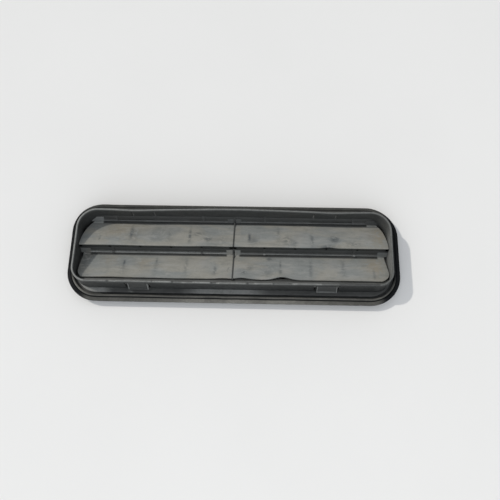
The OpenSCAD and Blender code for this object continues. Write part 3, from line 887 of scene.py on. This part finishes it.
# Flaps: a section of sheet and bead carried along X, its ends following the wall
flap = {
    "columns": 190,
    "rows": 40,
    "middleGap": 0.25,
    "lowerShort": 0.7,       # how much sooner the lower flaps end
    "underLipShade": 0.95,        # how dark the painted shade under the lips is beside the bead
    # how much shorter each flap is at its outer end: at the hinge, half way and at the tip
    "trims": {
        "flap_upper_left": (0.0, 0.0, 0.0),
        "flap_upper_right": (0.0, 0.1, 0.0),
        "flap_lower_left": (1.6, 0.9, 0.4),
        "flap_lower_right": (2.3, 0.2, 2.6),
    },
    # bends of each free edge: X, width, lift, how far it draws back
    "bends": {
        "flap_upper_left": [(-120, 14, 0.25, 0), (-60, 20, -0.15, 0), (-20, 18, 0.2, 0.1)],
        "flap_upper_right": [(30, 20, 0.15, 0), (88, 6, 0.9, 0.3), (120, 16, -0.1, 0)],
        "flap_lower_left": [(-110, 18, 0.3, 0.2), (-50, 22, -0.1, -0.1), (-8, 8, 0.5, 0.6)],
        "flap_lower_right": [(9, 8, 0.9, 1.1), (29, 6, -0.1, -0.3), (46, 8.5, 2.0, 1.9), (66, 8, 0, -0.1), (120, 14, 0.1, 0)],
    },
    # marks on each flap: X, share of the way to the free edge, half width, half height as a share, strength
    # stains, and two marks of painted shade, noted below
    "stainsAndShade": {
        "flap_upper_left": [(-125.5, 0.68, 0.8, 0.13, 0.8), (-96.5, 0.45, 1.5, 0.22, 0.8), (-94, 0.6, 5, 0.3, 0.3),
                            (-41, 0.55, 1.2, 0.28, 0.9), (-33, 0.5, 5, 0.07, 0.7), (-24, 0.72, 4.5, 0.10, 0.7), (-60, 0.6, 2, 0.3, 0.35),
                            (-71, 0.45, 7, 0.4, 0.25), (-12, 0.8, 6, 0.2, 0.35)],
        "flap_upper_right": [(15, 0.6, 1.3, 0.17, 0.95), (19, 0.75, 4, 0.2, 0.5), (50, 0.75, 5.5, 0.2, 0.55), (57, 0.85, 2, 0.1, 0.7),
                             # the mark at X 87 near the free edge is painted shade under the curled edge
                             (73.5, 0.7, 1.8, 0.28, 0.65), (94.5, 0.65, 4.5, 0.16, 0.8), (87, 0.97, 7, 0.05, 0.8), (112, 0.85, 7, 0.12, 0.5),
                             (42, 0.45, 1.2, 0.3, 0.45)],
        # the first mark here, at X -139, is painted shade at the flap's left end by the wall
        "flap_lower_left": [(-139, 0.4, 6, 0.6, 0.6), (-101, 0.38, 1.0, 0.12, 0.85), (-101, 0.62, 4, 0.28, 0.3), (-71, 0.28, 0.8, 0.09, 0.7), (-71, 0.6, 2, 0.3, 0.3),
                            (-43, 0.5, 1.6, 0.35, 0.4), (-16, 0.64, 1.2, 0.16, 0.8), (-4, 0.58, 0.9, 0.1, 0.75), (-4, 0.36, 0.9, 0.06, 0.5)],
        "flap_lower_right": [(33, 0.15, 3.5, 0.06, 0.8), (44.2, 0.35, 0.8, 0.15, 0.9), (44.2, 0.72, 1.4, 0.12, 0.6), (10, 0.72, 3.5, 0.1, 0.65),
                             (16, 0.55, 2.5, 0.1, 0.5), (32, 0.62, 5, 0.22, 0.4), (72, 0.55, 1.6, 0.4, 0.5), (102, 0.5, 1.8, 0.35, 0.45),
                             (129.5, 0.72, 1.1, 0.16, 0.8)],
    },
    "scuffsAndHighlight": {
        # the first mark here, along the free edge at the left end, is a painted highlight where the edge catches the
        # sun; the rest are scuffs
        "flap_upper_left": [(-118, 0.93, 14, 0.07, 0.5), (-52, 0.5, 5, 0.3, 0.25)],
        "flap_upper_right": [(62, 0.55, 8, 0.25, 0.55), (28, 0.95, 12, 0.05, 0.4), (122, 0.4, 8, 0.12, 0.4)],
        "flap_lower_left": [(-28, 0.38, 6, 0.2, 0.7), (-90, 0.05, 30, 0.05, 0.5)],
        "flap_lower_right": [(50, 0.68, 4.5, 0.13, 0.9), (92, 0.45, 7, 0.16, 0.6), (22, 0.2, 8, 0.12, 0.3)],
    },
    "warm": {
        "flap_upper_left": [(-112, 0.3, 13, 0.35, 0.7), (-88, 0.3, 12, 0.4, 0.35)],
        "flap_upper_right": [(4, 0.3, 2.5, 0.2, 0.5), (136, 0.5, 9, 0.6, 0.8)],
        "flap_lower_left": [(-83, 0.42, 7, 0.22, 0.7), (-115, 0.25, 8, 0.3, 0.5)],
        "flap_lower_right": [(131, 0.4, 10, 0.45, 0.9), (14, 0.3, 9, 0.3, 0.3)],
    },
}


def flapEnd(name, row, s, inset):
    # Furthest X of a flap at a distance s from its hinge: inside the wall at rest and when open.
    hingeY = rowFaces[row] - body["railDepth"]
    reach = np.full(np.shape(s), 1e9)
    for angle in (0, openAngle):
        for side in (-1, 1):
            y = hingeY - s * math.cos(slope + angle) + side * 1.1 * body["flapThickness"] * math.sin(slope + angle)
            reach = np.minimum(reach, halfLength(y, inset))
    atHinge, atMiddle, atTip = flap["trims"][name]
    share = s / flapLength
    reach = reach - atMiddle - (atHinge - atMiddle) * (1 - smoothStep(share, 0, 0.7))
    return reach - atTip * np.clip((share - 0.72) / 0.28, 0, 1) ** 2


def marksOn(kind, name, x, share):
    # Sum of a flap's marks of one kind: strength times a bell in X times a bell in share.
    return sum(strength * bellAt(x, place, wide) * bellAt(share, at, tall)[None, :]
               for place, at, wide, tall, strength in flap[kind][name])


def buildFlap(name, row, end):
    # Top and bottom rows of points from behind the bead to the free edge, with bends in height.
    t, r = body["flapThickness"] / 2, body["beadRadius"]
    hingeY = rowFaces[row] - body["railDepth"]
    # half thickness along the sheet: a round bead, a neck, the sheet and a rounded free edge
    bead = -r * np.cos(np.linspace(0.0, math.pi - math.asin(t / r), 12))
    sheet = np.linspace(bead[-1], flapLength - t, flap["rows"])[1:]
    turn = np.linspace(0, math.pi / 2, 6)[1:]
    s = np.concatenate([bead, sheet, flapLength - t + t * np.sin(turn)])
    half = np.concatenate([np.sqrt(np.maximum(r ** 2 - bead ** 2, 0)), np.full(len(sheet), t), t * np.cos(turn)])
    half = np.maximum(half, 0.02)
    nearX = body["dividerThickness"] / 2 + flap["middleGap"] + end * body["dividerX"]
    farX = flapEnd(name, row, s, body["wallThickness"] + body["sideGap"])
    x = end * (nearX + (farX[None, :] - nearX) * np.linspace(0, 1, flap["columns"])[:, None])
    share = np.clip(s / flapLength, 0, 1)
    bends = flap["bends"][name]
    lift = sum(up * bellAt(x, place, width) for place, width, up, _ in bends) * (share ** 2.6)[None, :]
    lift += 0.08 * np.sin(x * 0.16 + row * 2.0 + end) * share[None, :]
    drawn = sum(back * bellAt(x, place, width) for place, width, _, back in bends) * (share ** 4)[None, :]
    along = s[None, :] - drawn - flap["lowerShort"] * row * (share ** 4)[None, :]
    sides = []
    for side in (1, -1):
        offset = side * half[None, :] + lift
        y = hingeY - along * math.cos(slope) + offset * math.sin(slope)
        z = hingeZ + along * math.sin(slope) + offset * math.cos(slope)
        sides.append(np.stack([x, y, z], -1).reshape(-1, 3))
    rows, columns = x.shape
    total = rows * columns
    faces = [gridFaces(rows, columns), gridFaces(rows, columns, start=total)]
    across, down = np.arange(columns), np.arange(rows) * columns
    for line in (across, across + (rows - 1) * columns, down, down + columns - 1):
        faces.append(np.stack([line[:-1], line[1:], line[1:] + total, line[:-1] + total], 1))
    stop = inside["lipStops"][row]
    start = inside["lipStart"] * row
    underLip = smoothStep(np.abs(x), start - 0.6, start + 0.4)
    underLip = underLip * (1 - smoothStep(np.abs(x), stop - 0.4, stop + 0.6))
    # painted shade: dark beside the bead where the lips hang over it, and a thin dark line along the free edge
    neck = flap["underLipShade"] * (1 - smoothStep(s, 1.6, 2.6))[None, :] * underLip
    tip = 0.3 * smoothStep(share, 0.985, 1.0)[None, :]
    layers = {"stainsAndShade": marksOn("stainsAndShade", name, x, share) + 0.1, "scuffsAndHighlight": marksOn("scuffsAndHighlight", name, x, share),
              "warm": marksOn("warm", name, x, share), "paintedShade": neck + tip}
    piece = makePiece(name.replace("_", "") + "Sheet", np.concatenate(sides), np.concatenate(faces), flapMaterial, name,
                      sharpDegrees=50, layers={key: np.tile(value.ravel(), 2) for key, value in layers.items()})
    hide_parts(name)


for name in flap["bends"]:
    buildFlap(name, 0 if "upper" in name else 1, -1 if "left" in name else 1)
print("flaps made")


# Floor, light and camera
studio = {
    "floorColour": (0.815, 0.815, 0.805, 1),
    "floorHalf": 12.0,
    "sunTowards": (0.78, -0.315, -1.0),
    "sunStrength": 1.24,
    "sunColour": (1.05, 1.0, 0.92),
    "sunAngle": 1.5,
    "skyColour": (0.965, 0.995, 1.04, 1),
    "skyStrength": 0.545,
    "frontPower": 29.0,          # broad lamp in front, which stands for the brighter sky there
    "frontRise": 35.0,
    "frontFar": 2.5,
    "frontSize": 3.2,
}


def aimed(name, lamp, towards, place=(0, 0, 0)):
    # A lamp whose -Z axis points along towards.
    towards = np.array(towards) / np.linalg.norm(towards)
    side = np.cross([0, 1, 0], -towards)
    side /= np.linalg.norm(side)
    obj = bpy.data.objects.new(name, lamp)
    matrix = Matrix(np.column_stack([side, np.cross(-towards, side), -towards]).tolist()).to_4x4()
    matrix.translation = place
    obj.matrix_world = matrix
    bpy.context.scene.collection.objects.link(obj)


def buildStudio():
    material, tree, shader = newMaterial("paleFloor")
    place = addNode(tree, "ShaderNodeTexCoord").outputs["Object"]
    cloud = rangeOf(tree, noiseOf(tree, place, 6, 3), 0.3, 0.7)
    pale = studio["floorColour"]
    colour = mixOf(tree, cloud, pale, tuple(c * 0.985 for c in pale[:3]) + (1,))
    tree.links.new(colour, shader.inputs["Base Color"])
    shader.inputs["Roughness"].default_value = 0.85
    shader.inputs["Specular IOR Level"].default_value = 0.2
    mesh = bpy.data.meshes.new("paleFloor")
    h = studio["floorHalf"]
    mesh.from_pydata([(-h, -h, 0), (h, -h, 0), (h, h, 0), (-h, h, 0)], [], [(0, 1, 2, 3)])
    mesh.materials.append(material)
    floor = bpy.data.objects.new("paleFloor", mesh)
    bpy.context.scene.collection.objects.link(floor)

    lamp = bpy.data.lights.new("keyLight", "SUN")
    lamp.energy = studio["sunStrength"]
    lamp.color = studio["sunColour"]
    lamp.angle = math.radians(studio["sunAngle"])
    aimed("keyLight", lamp, studio["sunTowards"])

    lamp = bpy.data.lights.new("frontLight", "AREA")
    lamp.energy = studio["frontPower"]
    lamp.size = studio["frontSize"]
    lamp.color = studio["skyColour"][:3]
    rise = math.radians(studio["frontRise"])
    place = np.array([0, -math.cos(rise), math.sin(rise)]) * studio["frontFar"]
    aimed("frontLight", lamp, -place, place.tolist())

    world = bpy.data.worlds.new("softSky")
    bpy.context.scene.world = world
    world.use_nodes = True
    background = world.node_tree.nodes["Background"]
    background.inputs["Color"].default_value = studio["skyColour"]
    background.inputs["Strength"].default_value = studio["skyStrength"]


camera = {
    "focalPixels": 600.0,        # focal length over the 500 pixel wide image
    "tilt": 20.032,
    "yaw": -1.544,
    "roll": -0.906,
    "shiftX": -15.742,           # where the vent's middle stands from the view's axis
    "shiftY": -3.098,
    "distance": 564.731,
    "planeHeight": 9.2,          # the distance is measured to the flange's edge
}


def buildCamera():
    # Turn = roll about Z times yaw about Y times tilt about X; the camera's axes are its rows.
    a, b, c = (math.radians(camera[key]) for key in ("tilt", "yaw", "roll"))
    tilt = np.array([[1, 0, 0], [0, math.cos(a), math.sin(a)], [0, -math.sin(a), math.cos(a)]])
    yaw = np.array([[math.cos(b), 0, math.sin(b)], [0, 1, 0], [-math.sin(b), 0, math.cos(b)]])
    roll = np.array([[math.cos(c), -math.sin(c), 0], [math.sin(c), math.cos(c), 0], [0, 0, 1]])
    turn = roll @ yaw @ tilt
    place = turn.T @ (np.array([0, 0, camera["distance"]]) - np.array([camera["shiftX"], camera["shiftY"], 0]))
    place[2] += camera["planeHeight"]
    data = bpy.data.cameras.new("photoCamera")
    data.sensor_width = 36.0
    data.lens = camera["focalPixels"] * data.sensor_width / 500
    data.clip_start = 0.01
    data.clip_end = 20
    obj = bpy.data.objects.new("photoCamera", data)
    matrix = Matrix(turn.T.tolist()).to_4x4()
    matrix.translation = (place * mm).tolist()
    obj.matrix_world = matrix
    bpy.context.scene.collection.objects.link(obj)
    bpy.context.scene.camera = obj


buildStudio()
buildCamera()
bpy.context.scene.view_settings.view_transform = "Standard"
print("studio and camera made")
